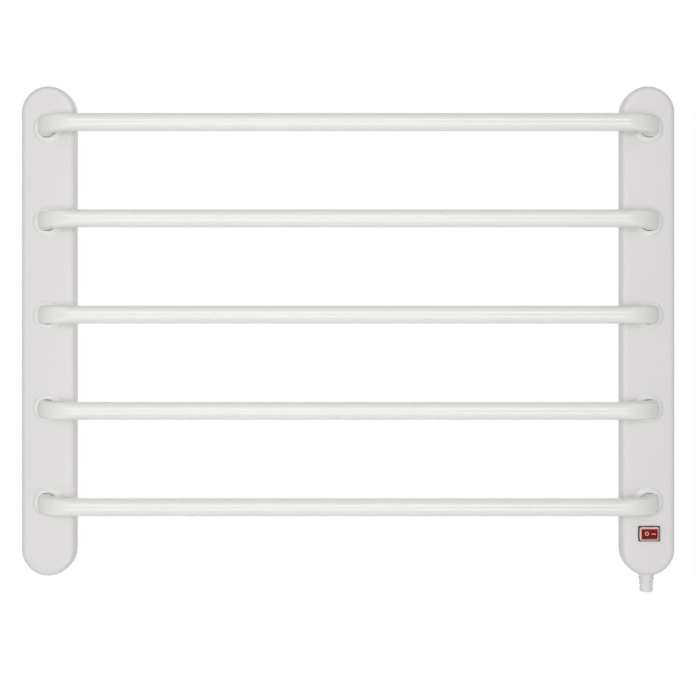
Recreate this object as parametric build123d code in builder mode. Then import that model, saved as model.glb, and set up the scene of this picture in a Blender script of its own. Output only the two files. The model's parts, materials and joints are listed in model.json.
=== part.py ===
"""Heated towel rail: two moulded end columns, five bent tubes and a rocker switch, in millimetres.

+X runs along the bars, +Z is up and the front faces -Y. The wall is the plane Y = 0, and the origin
is on it, in the middle of the four keyholes. A depth is a distance forward from the wall, along -Y.
"""

from build123d import *
from math import cos, pi, radians, sin, sqrt
import os

# Overall layout, heights counted from the foot of the columns
overall_width = 600.0
column_width = 49.0
column_depth = 20.0
bar_count = 5  # odd, so that the heating wire ends at the left, beside the splice
bar_pitch = 85.5
top_bar_drop = 39.5
bottom_bar_rise = 68.5
upper_boss_rise = 21.5
lower_boss_drop = 44.5
upper_keyhole_rise = 25.5
lower_keyhole_drop = 17.5

# Covers, whose rims stand off the wall
cover_rim = 6.0
cover_wall = 2.0
column_edge_radius = 5.0
collar_radius = 13.4
collar_height = 1.2
collar_slope = 2.0
collar_blend = 2.4
tube_gap = 0.5
boss_radius = 4.0
dimple_radius = 1.9
dimple_depth = 0.25
cord_pad_radius = 7.5
cord_pad_drop = 0.3
cord_pad_wall = 3.8

# Back plates
plate_thickness = 2.0
plate_clearance = 0.3
plate_lip_wall = 1.2
plate_lip_overlap = 1.5
keyhole_radius = 4.5
keyhole_slot_width = 4.6
keyhole_slot_rise = 8.0

# Bars
tube_radius = 8.0
tube_wall = 1.0
bend_radius = 30.0

# Tube fixings
strip_thickness = 1.5
strip_width = 28.0
strip_standoff = 2.5
strip_hole_clearance = 0.15
strip_screw_spread = 9.0
strip_screw_drop = 28.5
nut_across_flats = 22.0
nut_thickness = 2.5
nut_clearance = 0.1
tube_end_beyond_nut = 0.5
ring_thickness = 1.2
ring_radius = 10.5
plug_flange = 1.2
plug_wall = 1.1
plug_length = 5.0
plug_clearance = 0.1

# Screws
screw_radius = 1.2
screw_clearance = 0.1
screw_head_radius = 2.6
screw_head_height = 1.7
screw_length = 4.8
plate_screw_length = 11.0
plate_screw_head_radius = 3.2
clip_screw_reach = 1.6
clip_screw_head_height = 1.4
earth_screw_reach = 1.5
clamp_screw_reach = 6.0

# Wires
heater_radius = 1.25
lead_radius = 1.0
wire_rest = 0.25
wire_hole_clearance = 0.3
twin_wire_spread = 1.6
exit_radius = 4.4
lane_inset = 5.0
lane_radius = 8.0
splice_radius = 2.9
splice_length = 14.0
splice_drop = 20.0
splice_rounding = 1.0
return_exit_drop = 8.0
return_tab_run = 5.0
live_tab_run = 6.0
clip_width = 6.0
clip_height = 8.0
clip_cover = 1.7
clip_mouth = 1.8

# Thermal cut-out and earth
cutout_width = 8.0
cutout_thickness = 6.0
cutout_length = 15.0
cutout_corner = 0.8
cutout_lead_run = 5.5
clip_strap = 0.8
clip_strap_height = 6.0
clip_foot = 6.0
earth_tag_radius = 4.0
earth_tag_thickness = 0.8
earth_tag_barrel = 9.0
earth_screw_radius = 1.9
earth_head_radius = 3.3
earth_head_height = 1.8

# Switch
switch_drop = 29.0
bezel_length = 20.0
bezel_width = 14.1
bezel_thickness = 1.6
bezel_corner = 0.8
housing_wall = 1.2
housing_depth = 10.5
housing_clearance = 0.3
rocker_length = 14.2
rocker_width = 8.8
rocker_end_height = 3.2
rocker_middle_height = 2.3
rocker_skirt = 0.2
rocker_keel = 2.6
rocker_keel_length = 8.4
rocker_throw = 20.0
rocker_clearance = 0.3
pivot_below_face = 0.8
trunnion_radius = 1.0
trunnion_length = 0.8
running_clearance = 0.06
mark_depth = 0.15
mark_stroke = 0.55
ring_mark_place = -2.05
ring_mark_radius = 1.7
bar_mark_place = 4.3
bar_mark_length = 3.0
plunger_radius = 1.1
plunger_reach = 4.85
plunger_length = 3.5
plunger_bore_clearance = 0.15
plunger_bore_depth = 3.6
spring_wire_radius = 0.15
spring_turns = 3
spring_end_gap = 0.05
lamp_radius = 0.95
lamp_length = 5.4
lamp_rounding = 0.76
lamp_place = 3.9
lamp_height = 0.6
lamp_clearance = 0.3
blade_thickness = 0.4
blade_length = 11.0
blade_width = 3.0
blade_throw = 12.0
blade_gap = 0.4
blade_below_pivot = 5.5
tab_spacing = 6.0
tab_thickness = 0.6
tab_width = 3.2
tab_length = 5.0
tab_head = 2.0
tab_clearance = 0.05
cap_length = 17.9
cap_width = 12.2
cap_flange = 0.8
cap_flange_corner = 2.0
cap_wall = 0.5
cap_window = 0.5
cap_dome_corner = 1.2
cap_rounding = 1.0
cap_clearance = 0.35

# Cord entry
cord_radius = 3.3
cord_clearance = 0.2
boot_length = 15.2
boot_top_radius = 7.0
boot_tip_radius = 5.65
boot_groove = 0.7
boot_neck = 1.7
boot_rib = 3.0
boot_gap = 1.6
boot_flange_radius = 7.2
boot_flange = 1.6
boot_neck_wall = 1.8
boot_neck_clearance = 0.3
clamp_rise = 16.0
clamp_length = 21.0
clamp_width = 7.0
clamp_thickness = 2.2
clamp_screw_spread = 7.5
clamp_post_radius = 3.0
clamp_bite = 0.5

# Places along the bars, and heights above the middle of the keyholes
column_x = (overall_width - column_width) / 2
column_height = top_bar_drop + (bar_count - 1) * bar_pitch + bottom_bar_rise
bar_rises = [column_height - top_bar_drop - bar * bar_pitch for bar in range(bar_count)]
upper_boss = bar_rises[1] + upper_boss_rise
lower_boss = bar_rises[-2] - lower_boss_drop
mount_rise = (upper_boss + upper_keyhole_rise + lower_boss - lower_keyhole_drop) / 2
foot_z = -mount_rise
top_z = column_height - mount_rise
middle_z = (foot_z + top_z) / 2
bar_heights = [rise - mount_rise for rise in bar_rises]
boss_heights = [upper_boss - mount_rise, lower_boss - mount_rise]
keyhole_heights = [boss_heights[0] + upper_keyhole_rise, boss_heights[1] - lower_keyhole_drop]
strip_screw_heights = [bar_heights[0] - strip_screw_drop, bar_heights[-2] - strip_screw_drop]
switch_z = bar_heights[-1] - switch_drop

# Depths, from the front of the columns back to the wires
inner_front = column_depth - cover_wall
collar_front = column_depth + collar_height
bar_depth = collar_front + bend_radius
strip_front = inner_front - strip_standoff
strip_back = strip_front - strip_thickness
nut_back = strip_back - nut_thickness
tube_end = nut_back - tube_end_beyond_nut
plug_back = tube_end - plug_flange
lane_depth = plug_back - exit_radius
cord_depth = column_depth / 2

# Screw holes
pilot_radius = screw_radius + screw_clearance
screw_hole = screw_radius + 2 * screw_clearance

# Widths inside a column
tube_bore = tube_radius - tube_wall
collar_hole = tube_radius + tube_gap
lane_offset = column_width / 2 - cover_wall - lane_inset
heater_drop = tube_bore - heater_radius - wire_rest
twin_heater_drop = sqrt(heater_drop**2 - twin_wire_spread**2)
twin_lead_drop = sqrt((tube_bore - lead_radius - wire_rest) ** 2 - twin_wire_spread**2)


def at_depth(depth):
    """The upright plane at a depth. It faces forward, with X across and Z up."""
    return Plane.XZ.offset(depth)


def rods(points, radius, back, front, mode=Mode.ADD):
    """Round rods along the depth, centred on points (x, z), from one depth forward to another."""
    with BuildSketch(at_depth(back)) as discs:
        with Locations(*points):
            Circle(radius)
    extrude(discs.sketch, amount=front - back, mode=mode)


def blocks(points, width, height, back, front, mode=Mode.ADD):
    """Square-edged blocks centred on points (x, z), from one depth forward to another."""
    with BuildSketch(at_depth(back)) as outlines:
        with Locations(*points):
            Rectangle(width, height)
    extrude(outlines.sketch, amount=front - back, mode=mode)


def column_block(x, inset, back, front, mode=Mode.ADD):
    """The column's upright outline with its rounded ends, drawn in by an inset."""
    with BuildSketch(at_depth(back)) as outline:
        with Locations((x, middle_z)):
            SlotOverall(column_height - 2 * inset, column_width - 2 * inset, rotation=90)
    extrude(outline.sketch, amount=front - back, mode=mode)


def pan_screws(points, seat, length, shank=screw_radius, head=screw_head_radius, height=screw_head_height):
    """Pan-head screws driven forward, with the underside of the head at the seat's depth."""
    rods(points, head, seat - height, seat)
    rods(points, shank, seat, seat + length)


def upright_rod(x, depth, radius, bottom, top, mode=Mode.ADD):
    """A round rod that stands along Z."""
    with BuildSketch(Plane.XY.offset(bottom)) as disc:
        with Locations((x, -depth)):
            Circle(radius)
    extrude(disc.sketch, amount=top - bottom, mode=mode)


def save(piece, name):
    """Labels a finished piece and writes its file."""
    piece.part.label = name
    export_step(piece.part, f"parts/{name}.step")


os.makedirs("parts", exist_ok=True)
hands = {"left": -1, "right": 1}


# Covers
def strip_screw_points(x):
    """Where the strip's four screws stand in the column whose middle is at x."""
    spreads = (-strip_screw_spread, strip_screw_spread)
    return [(x + spread, z) for z in strip_screw_heights for spread in spreads]


def build_cover(side):
    """A hollow column, open towards the wall, with its collars, bosses and sink dimples."""
    x = side * column_x
    bars = [(x, z) for z in bar_heights]
    bosses = [(x, z) for z in boss_heights]
    posts = strip_screw_points(x)
    dimple_ball = (dimple_radius**2 + dimple_depth**2) / (2 * dimple_depth)
    with BuildPart() as cover:
        column_block(x, 0, cover_rim, column_depth)
        front_rim = cover.faces().sort_by(Axis.Y)[0].outer_wire().edges()
        fillet(front_rim, radius=column_edge_radius)
        for z in bar_heights:
            with Locations(Location((x, -column_depth - collar_height / 2, z), (90, 0, 0))):
                Cone(collar_radius, collar_radius - collar_slope, collar_height)
        collar_rims = [
            edge
            for edge in cover.edges().filter_by(GeomType.CIRCLE)
            if edge.radius < collar_radius + 0.01 and edge.center().Y < 0.01 - column_depth
        ]
        fillet(collar_rims, radius=collar_blend)
        column_block(x, cover_wall, cover_rim, inner_front, mode=Mode.SUBTRACT)
        inner_face = cover.faces().filter_by_position(Axis.Y, -inner_front, -inner_front)[0]
        fillet(inner_face.outer_wire().edges(), radius=column_edge_radius - cover_wall)
        rods(bosses, boss_radius, plate_thickness, inner_front)
        rods(bosses, pilot_radius, plate_thickness, inner_front, mode=Mode.SUBTRACT)
        rods(posts, screw_head_radius, strip_front, inner_front)
        rods(posts, pilot_radius, strip_front, column_depth - cover_wall / 2, mode=Mode.SUBTRACT)
        rods(bars, collar_hole, inner_front, collar_front, mode=Mode.SUBTRACT)
        with Locations(*[(x, dimple_depth - column_depth - dimple_ball, z) for z in boss_heights]):
            Sphere(dimple_ball, mode=Mode.SUBTRACT)
        if side > 0:
            add_switch_window(x)
            add_cord_entry(x)
    return cover


def add_switch_window(x):
    """Cuts the window that the switch housing goes through."""
    window_length = housing_length + 2 * housing_clearance
    window_width = housing_width + 2 * housing_clearance
    blocks([(x, switch_z)], window_length, window_width, inner_front, column_depth, mode=Mode.SUBTRACT)


def add_cord_entry(x):
    """Adds the flat pad at the foot with the hole for the boot, and the two posts of the cord clamp."""
    upright_rod(x, cord_depth, cord_pad_radius, pad_bottom, pad_top)
    upright_rod(x, cord_depth, boot_neck_radius + boot_neck_clearance, pad_bottom, pad_top,
                mode=Mode.SUBTRACT)
    rods(clamp_points, clamp_post_radius, clamp_front, inner_front)
    rods(clamp_points, pilot_radius, clamp_front, inner_front, mode=Mode.SUBTRACT)


# The switch's housing follows the rocker, which needs room to swing
swing = radians(rocker_throw / 2)
rocker_reach = rocker_length / 2 * cos(swing) + rocker_end_height * sin(swing)
rocker_rise = rocker_end_height * cos(swing) + rocker_length / 2 * sin(swing)
opening_length = 2 * (rocker_reach + rocker_clearance)
opening_width = rocker_width + 2 * rocker_clearance
housing_length = opening_length + 2 * housing_wall
housing_width = opening_width + 2 * housing_wall
bezel_front = column_depth + bezel_thickness
pivot_depth = column_depth - pivot_below_face
housing_back = column_depth - housing_depth

# The cord's pad, boot and clamp
pad_bottom = foot_z - cord_pad_drop
pad_top = pad_bottom + cord_pad_wall
cord_bore = cord_radius + cord_clearance
boot_neck_radius = cord_bore + boot_neck_wall
clamp_z = foot_z + clamp_rise
clamp_front = cord_depth - cord_radius + clamp_bite
clamp_points = [(column_x + dx, clamp_z) for dx in (-clamp_screw_spread, clamp_screw_spread)]

for hand, side in hands.items():
    save(build_cover(side), f"{hand}_cover")


# Back plates
def build_back_plate(side):
    """The plate that closes a column at the wall, with two keyholes and two countersunk screw holes.

    Its lip goes up inside the cover's rim. On the right it is notched round the cord's pad and boot.
    """
    x = side * column_x
    inset = cover_wall + plate_clearance
    with BuildPart() as plate:
        column_block(x, inset, 0, cover_rim + plate_lip_overlap)
        column_block(x, inset + plate_lip_wall, plate_thickness, cover_rim + plate_lip_overlap,
                     mode=Mode.SUBTRACT)
        if side > 0:
            upright_rod(x, cord_depth, cord_pad_radius + plate_clearance, foot_z,
                        pad_top + boot_flange + plate_clearance, mode=Mode.SUBTRACT)
        rods([(x, z) for z in keyhole_heights], keyhole_radius, 0, plate_thickness, mode=Mode.SUBTRACT)
        slot_middles = [(x, z + keyhole_slot_rise / 2) for z in keyhole_heights]
        blocks(slot_middles, keyhole_slot_width, keyhole_slot_rise, 0, plate_thickness, mode=Mode.SUBTRACT)
        rods([(x, z + keyhole_slot_rise) for z in keyhole_heights], keyhole_slot_width / 2, 0,
             plate_thickness, mode=Mode.SUBTRACT)
        for z in boss_heights:
            countersink(x, z, plate_screw_head_radius + screw_clearance, screw_hole, mode=Mode.SUBTRACT)
        rods([(x, z) for z in boss_heights], screw_hole, 0, plate_thickness, mode=Mode.SUBTRACT)
    return plate


def countersink(x, z, mouth, neck, mode=Mode.ADD):
    """A cone that narrows forward from the wall at 45 degrees."""
    with Locations(Location((x, -(mouth - neck) / 2, z), (90, 0, 0))):
        Cone(mouth, neck, mouth - neck, mode=mode)


def build_plate_screws(side):
    """Countersunk screws that hold the back plate to the cover's bosses."""
    x = side * column_x
    with BuildPart() as plate_screws:
        for z in boss_heights:
            countersink(x, z, plate_screw_head_radius, screw_radius)
        rods([(x, z) for z in boss_heights], screw_radius, 0, plate_screw_length)
    return plate_screws


for hand, side in hands.items():
    save(build_back_plate(side), f"{hand}_back_plate")
    save(build_plate_screws(side), f"{hand}_plate_screws")


# Bars
def build_bar(z):
    """A tube bent through a right angle at both ends, where it goes back into the columns."""
    with BuildPart() as bar:
        with BuildLine(Plane.XY.offset(z)) as route:
            FilletPolyline((column_x, -tube_end), (column_x, -bar_depth), (-column_x, -bar_depth),
                           (-column_x, -tube_end), radius=bend_radius)
        with BuildSketch(Plane(origin=(column_x, -tube_end, z), z_dir=(0, -1, 0))):
            Circle(tube_radius)
            Circle(tube_bore, mode=Mode.SUBTRACT)
        sweep(path=route.wire())
    return bar


for number, z in enumerate(bar_heights, start=1):
    save(build_bar(z), f"bar_{number}")


# Tube fixings
def build_inner_strip(side):
    """The steel strip behind the cover's face. The tube ends go through it."""
    x = side * column_x
    strip_length = bar_heights[0] - bar_heights[-1] + strip_width
    with BuildPart() as strip:
        with BuildSketch(at_depth(strip_back)):
            with Locations((x, (bar_heights[0] + bar_heights[-1]) / 2)):
                SlotOverall(strip_length, strip_width, rotation=90)
            with Locations(*[(x, z) for z in bar_heights]):
                Circle(tube_radius + strip_hole_clearance, mode=Mode.SUBTRACT)
            with Locations(*[(x, z) for z in boss_heights]):
                Circle(boss_radius + 2 * plate_clearance, mode=Mode.SUBTRACT)
            with Locations(*strip_screw_points(x)):
                Circle(screw_hole, mode=Mode.SUBTRACT)
            if side > 0:
                with Locations(*cutout_clip_points):
                    Circle(pilot_radius, mode=Mode.SUBTRACT)
                with Locations((x, earth_z)):
                    Circle(earth_screw_radius + screw_clearance, mode=Mode.SUBTRACT)
        extrude(amount=strip_thickness)
    return strip


def build_strip_screws(side):
    """The four screws that hold the strip to the cover's posts."""
    with BuildPart() as strip_screws:
        pan_screws(strip_screw_points(side * column_x), strip_back, screw_length)
    return strip_screws


def build_tube_nuts(side):
    """Thin hexagon nuts that pull the tubes' rings against the strip."""
    with BuildPart() as tube_nuts:
        with BuildSketch(at_depth(nut_back)):
            with Locations(*[(side * column_x, z) for z in bar_heights]):
                RegularPolygon(nut_across_flats / 2, 6, major_radius=False)
                Circle(tube_radius + nut_clearance, mode=Mode.SUBTRACT)
        extrude(amount=nut_thickness)
    return tube_nuts


def build_rings(side):
    """Rings on the tubes that bear on the front of the strip."""
    with BuildPart() as rings:
        with BuildSketch(at_depth(strip_front)):
            with Locations(*[(side * column_x, z) for z in bar_heights]):
                Circle(ring_radius)
                Circle(tube_radius + nut_clearance, mode=Mode.SUBTRACT)
        extrude(amount=ring_thickness)
    return rings


def build_end_plugs(side):
    """Insulating plugs in the tube ends, with a hole for each wire that comes out."""
    x = side * column_x
    bars = [(x, z) for z in bar_heights]
    heater_holes = [(x, z - heater_drop) for z in bar_heights[:-1]]
    heater_holes.append((x + side * twin_wire_spread, bar_heights[-1] - twin_heater_drop))
    lead_hole = (x - side * twin_wire_spread, bar_heights[-1] - twin_lead_drop)
    with BuildPart() as end_plugs:
        rods(bars, tube_radius, plug_back, tube_end)
        rods(bars, tube_bore - plug_clearance, tube_end, tube_end + plug_length)
        rods(bars, tube_bore - plug_clearance - plug_wall, tube_end, tube_end + plug_length,
             mode=Mode.SUBTRACT)
        rods(heater_holes, heater_radius + wire_hole_clearance, plug_back, tube_end + plug_length,
             mode=Mode.SUBTRACT)
        rods([lead_hole], lead_radius + wire_hole_clearance, plug_back, tube_end + plug_length,
             mode=Mode.SUBTRACT)
    return end_plugs


cutout_z = (bar_heights[1] + bar_heights[2]) / 2
cutout_front = strip_back
cutout_back = strip_back - cutout_thickness
clip_foot_place = cutout_width / 2 + clip_strap + plate_clearance + clip_foot / 2
cutout_clip_points = [(column_x + dx, cutout_z) for dx in (-clip_foot_place, clip_foot_place)]
earth_z = (bar_heights[2] + bar_heights[3]) / 2

for hand, side in hands.items():
    save(build_inner_strip(side), f"{hand}_inner_strip")
    save(build_strip_screws(side), f"{hand}_strip_screws")
    save(build_tube_nuts(side), f"{hand}_tube_nuts")
    save(build_rings(side), f"{hand}_retaining_rings")
    save(build_end_plugs(side), f"{hand}_end_plugs")


# Wires
def lay_wire(name, points, bends, radius):
    """Sweeps a wire along straight runs joined by arcs, and prints how its volume compares."""
    with BuildPart() as wire:
        with BuildLine() as route:
            FilletPolyline(*points, radius=bends)
        with BuildSketch(Plane(origin=route.line @ 0, z_dir=route.line % 0)):
            Circle(radius)
        sweep(path=route.wire())
    length = route.wire().length
    ratio = wire.part.volume / (pi * radius**2 * length)
    print(name, "length", round(length, 1), "volume ratio", ratio)
    save(wire, name)


def bar_pass(side, height, inward=0.0):
    """The four points of a run through a bar that starts at one side, drawn in towards the wall side."""
    end_x = side * (column_x - inward)
    run_depth = bar_depth - inward
    return [(end_x, -lane_depth, height), (end_x, -run_depth, height),
            (-end_x, -run_depth, height), (-end_x, -lane_depth, height)]


def lane_points(side, upper, lower):
    """The two points of a column's outer lane, between the levels of two bars."""
    lane_x = side * (column_x + lane_offset)
    return [(lane_x, -lane_depth, upper - lane_offset), (lane_x, -lane_depth, lower + lane_offset)]


# The heating wire goes up the right column, then back and forth down through the bars
wire_heights = [z - heater_drop for z in bar_heights[:-1]] + [bar_heights[-1] - twin_heater_drop]
cutout_axis = (cutout_front + cutout_back) / 2
inner_lane_x = column_x - lane_offset
lead_top = cutout_z + cutout_length / 2
heater_points = [
    (column_x, -cutout_axis, lead_top),
    (column_x, -cutout_axis, lead_top + cutout_lead_run),
    (inner_lane_x, -lane_depth, lead_top + cutout_lead_run + lane_offset),
    (inner_lane_x, -lane_depth, wire_heights[0] - lane_offset),
]
heater_bends = [exit_radius, lane_radius, lane_radius]
for number, height in enumerate(wire_heights):
    start_side = 1 if number % 2 == 0 else -1
    inward = -twin_wire_spread if number == bar_count - 1 else 0.0
    heater_points += bar_pass(start_side, height, inward)
    heater_bends += [exit_radius, bend_radius - inward, bend_radius - inward]
    if number < bar_count - 1:
        heater_points += lane_points(-start_side, height, wire_heights[number + 1])
        heater_bends += [exit_radius, lane_radius, lane_radius]
splice_top = wire_heights[-1] - splice_drop
heater_points.append((-column_x - twin_wire_spread, -lane_depth, splice_top))
heater_bends.append(exit_radius)
lay_wire("heating_wire", heater_points, heater_bends, heater_radius)

# The return wire comes back from the splice through the bottom bar to the switch
tab_top = switch_z + tab_width / 2
tab_wire_depth = housing_back - tab_length / 2
return_height = bar_heights[-1] - twin_lead_drop
return_points = [(-column_x + twin_wire_spread, -lane_depth, splice_top)]
return_points += bar_pass(-1, return_height, twin_wire_spread)
return_points += [
    (column_x - twin_wire_spread, -lane_depth, return_height - return_exit_drop),
    (column_x + tab_spacing, -tab_wire_depth, tab_top + return_tab_run),
    (column_x + tab_spacing, -tab_wire_depth, tab_top),
]
return_bends = [exit_radius, bend_radius - twin_wire_spread, bend_radius - twin_wire_spread,
                exit_radius, exit_radius, exit_radius]
lay_wire("return_wire", return_points, return_bends, lead_radius)

# The live wire goes from the switch up the inner lane to the cut-out
lead_bottom = cutout_z - cutout_length / 2
live_points = [
    (column_x - tab_spacing, -tab_wire_depth, tab_top),
    (column_x - tab_spacing, -tab_wire_depth, tab_top + live_tab_run),
    (inner_lane_x, -lane_depth, tab_top + live_tab_run + lane_offset),
    (inner_lane_x, -lane_depth, lead_bottom - cutout_lead_run - lane_offset),
    (column_x, -cutout_axis, lead_bottom - cutout_lead_run),
    (column_x, -cutout_axis, lead_bottom),
]
live_bends = [exit_radius, lane_radius, lane_radius, exit_radius]
lay_wire("live_wire", live_points, live_bends, lead_radius)

# The cap that is crimped over the ends of the heating wire and the return wire
with BuildPart() as splice_cap:
    upright_rod(-column_x, lane_depth, splice_radius, splice_top - splice_length, splice_top)
    fillet(splice_cap.edges().sort_by(Axis.Z)[0], radius=splice_rounding)
save(splice_cap, "splice_cap")


def build_wire_clips(places):
    """Saddles on the back plate that hold the wires in their lanes, at points (x, z)."""
    hold = heater_radius + wire_rest
    with BuildPart() as wire_clips:
        blocks(places, clip_width, clip_height, plate_thickness, lane_depth + clip_cover)
        for x, z in places:
            upright_rod(x, lane_depth, hold, z - clip_height / 2, z + clip_height / 2, mode=Mode.SUBTRACT)
        blocks(places, clip_mouth, clip_height, lane_depth, lane_depth + clip_cover, mode=Mode.SUBTRACT)
    return wire_clips


# The lanes' clips sit halfway between two bars, and the inner lane has none beside the cut-out
clip_levels = [(upper + lower) / 2 for upper, lower in zip(wire_heights, wire_heights[1:])]
outer_lane_x = column_x + lane_offset
left_places = [(-outer_lane_x, z) for z in clip_levels[0::2]]
right_places = [(outer_lane_x, z) for z in clip_levels[1::2]]
right_places += [(inner_lane_x, z) for z in clip_levels[:1] + clip_levels[2:]]
save(build_wire_clips(left_places), "left_wire_clips")
save(build_wire_clips(right_places), "right_wire_clips")

# Thermal cut-out
with BuildPart() as thermal_cutout:
    blocks([(column_x, cutout_z)], cutout_width, cutout_length, cutout_back, cutout_front)
    fillet(thermal_cutout.edges().filter_by(Axis.Z), radius=cutout_corner)
save(thermal_cutout, "thermal_cutout")

with BuildPart() as cutout_clip:
    strap_width = cutout_width + 2 * plate_clearance + 2 * clip_strap
    strap_back = cutout_back - plate_clearance - clip_strap
    blocks([(column_x, cutout_z)], strap_width, clip_strap_height, strap_back, strip_back)
    blocks(cutout_clip_points, clip_foot, clip_strap_height, strip_back - clip_strap, strip_back)
    blocks([(column_x, cutout_z)], strap_width - 2 * clip_strap, clip_strap_height,
           strap_back + clip_strap, strip_back, mode=Mode.SUBTRACT)
    rods(cutout_clip_points, screw_hole, strip_back - clip_strap, strip_back, mode=Mode.SUBTRACT)
save(cutout_clip, "cutout_clip")

with BuildPart() as cutout_clip_screws:
    pan_screws(cutout_clip_points, strip_back - clip_strap, strip_thickness + clip_screw_reach,
               height=clip_screw_head_height)
save(cutout_clip_screws, "cutout_clip_screws")

# Earth
with BuildPart() as earth_tag:
    tag_back = strip_back - earth_tag_thickness
    rods([(column_x, earth_z)], earth_tag_radius, tag_back, strip_back)
    blocks([(column_x, earth_z - earth_tag_barrel / 2)], earth_tag_radius, earth_tag_barrel,
           tag_back, strip_back)
    rods([(column_x, earth_z)], earth_screw_radius + screw_clearance, tag_back, strip_back,
         mode=Mode.SUBTRACT)
save(earth_tag, "earth_tag")

with BuildPart() as earth_screw:
    pan_screws([(column_x, earth_z)], tag_back, earth_tag_thickness + strip_thickness + earth_screw_reach,
               shank=earth_screw_radius, head=earth_head_radius, height=earth_head_height)
save(earth_screw, "earth_screw")

# Switch housing
tab_points = [(column_x + dx, switch_z) for dx in (-tab_spacing, 0, tab_spacing)]
with BuildPart() as switch_housing:
    blocks([(column_x, switch_z)], housing_length, housing_width, housing_back, bezel_front)
    blocks([(column_x, switch_z)], bezel_length, bezel_width, column_depth, bezel_front)
    bezel_corners = switch_housing.edges().filter_by(Axis.Y).group_by(Axis.Y)[0]
    fillet(bezel_corners, radius=bezel_corner)
    blocks([(column_x, switch_z)], opening_length, opening_width, housing_back + housing_wall, bezel_front,
           mode=Mode.SUBTRACT)
    blocks(tab_points, tab_thickness + 2 * tab_clearance, tab_width + 2 * tab_clearance, housing_back,
           housing_back + housing_wall, mode=Mode.SUBTRACT)
    upright_rod(column_x, pivot_depth, trunnion_radius + running_clearance,
                switch_z - rocker_width / 2 - trunnion_length - 2 * rocker_clearance,
                switch_z + rocker_width / 2 + trunnion_length + 2 * rocker_clearance, mode=Mode.SUBTRACT)
save(switch_housing, "switch_housing")

# Switch terminals
blade_depth = pivot_depth - blade_below_pivot
blade_drop = blade_length / 2 * sin(radians(blade_throw / 2))
middle_top = blade_depth - blade_thickness / 2 - blade_gap
side_top = middle_top - blade_drop
with BuildPart() as switch_terminals:
    blocks(tab_points, tab_thickness, tab_width, housing_back - tab_length, side_top)
    blocks(tab_points[1:2], tab_thickness, tab_width, side_top, middle_top)
    blocks(tab_points[1:2], tab_head, tab_width, middle_top - tab_thickness, middle_top)
    blocks([tab_points[0], tab_points[2]], tab_head, tab_width, side_top - tab_thickness, side_top)
save(switch_terminals, "switch_terminals")

# Switch rocker, at rest with its O end pressed in
pivot = (column_x, -pivot_depth, switch_z)
rest_tilt = Plane(origin=pivot, x_dir=(cos(swing), -sin(swing), 0), z_dir=(0, 0, 1))


def plunger_plane(reach):
    """The plane square to the plunger at a distance inward from the pivot. It faces outward."""
    origin = rest_tilt.from_local_coords(Vector(0, reach, 0))
    return Plane(origin=origin, x_dir=rest_tilt.x_dir, z_dir=-rest_tilt.y_dir)


def facet_plane(direction, along):
    """The plane on one half of the rocker's face, at a distance along it from the middle."""
    slope = (rocker_end_height - rocker_middle_height) / (rocker_length / 2)
    height = rocker_middle_height + slope * abs(along)
    origin = rest_tilt.from_local_coords(Vector(along, -height, 0))
    outward = rest_tilt.from_local_coords(Vector(along - direction * slope, -height - 1, 0)) - origin
    across = rest_tilt.from_local_coords(Vector(along + 1, -height - direction * slope, 0)) - origin
    return Plane(origin=origin, x_dir=across, z_dir=outward)


with BuildPart() as switch_rocker:
    half = rocker_length / 2
    keel_half = rocker_keel_length / 2
    with BuildSketch(rest_tilt):
        with BuildLine():
            Polyline((-half, -rocker_end_height), (0, -rocker_middle_height), (half, -rocker_end_height),
                     (half, -rocker_skirt), (keel_half, rocker_keel), (-keel_half, rocker_keel),
                     (-half, -rocker_skirt), close=True)
        make_face()
    extrude(amount=rocker_width / 2, both=True)
    with BuildSketch(rest_tilt):
        Circle(trunnion_radius)
    extrude(amount=rocker_width / 2 + rocker_clearance + trunnion_length, both=True)
    with BuildSketch(plunger_plane(rocker_keel)):
        Circle(plunger_radius + plunger_bore_clearance)
    extrude(amount=plunger_bore_depth, mode=Mode.SUBTRACT)
    with BuildSketch(rest_tilt.offset(-rocker_width / 2)):
        with Locations((lamp_place, -lamp_height)):
            Circle(lamp_radius + lamp_clearance)
    extrude(amount=rocker_width / 2 + lamp_length / 2, mode=Mode.SUBTRACT)
    with BuildSketch(facet_plane(-1, ring_mark_place)):
        Circle(ring_mark_radius)
        Circle(ring_mark_radius - mark_stroke, mode=Mode.SUBTRACT)
    extrude(amount=-mark_depth, mode=Mode.SUBTRACT)
    with BuildSketch(facet_plane(1, bar_mark_place)):
        Rectangle(bar_mark_length, mark_stroke)
    extrude(amount=-mark_depth, mode=Mode.SUBTRACT)
save(switch_rocker, "switch_rocker")

# Plunger, its spring and the lamp ride in the rocker
bore_floor = rocker_keel - plunger_bore_depth
plunger_top = plunger_reach - plunger_length
with BuildPart() as switch_plunger:
    with BuildSketch(plunger_plane(plunger_reach)):
        Circle(plunger_radius)
    extrude(amount=plunger_length)
save(switch_plunger, "switch_plunger")

spring_end = spring_wire_radius + spring_end_gap
spring_height = plunger_top - bore_floor - 2 * spring_end
spring_seat = rest_tilt.from_local_coords(Vector(0, plunger_top - spring_end, 0))
spring_radius = plunger_radius - 2 * spring_wire_radius
with BuildPart() as plunger_spring:
    with BuildLine() as coil:
        Helix(spring_height / spring_turns, spring_height, spring_radius, center=spring_seat,
              direction=-rest_tilt.y_dir)
    with BuildSketch(Plane(origin=coil.line @ 0, z_dir=coil.line % 0)):
        Circle(spring_wire_radius)
    sweep(path=coil.wire(), is_frenet=True)
save(plunger_spring, "plunger_spring")

with BuildPart() as indicator_lamp:
    with BuildSketch(rest_tilt.offset(-lamp_length / 2)):
        with Locations((lamp_place, -lamp_height)):
            Circle(lamp_radius)
    extrude(amount=lamp_length)
    fillet(indicator_lamp.edges().sort_by(Axis.Z)[-1], radius=lamp_rounding)
save(indicator_lamp, "indicator_lamp")

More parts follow.
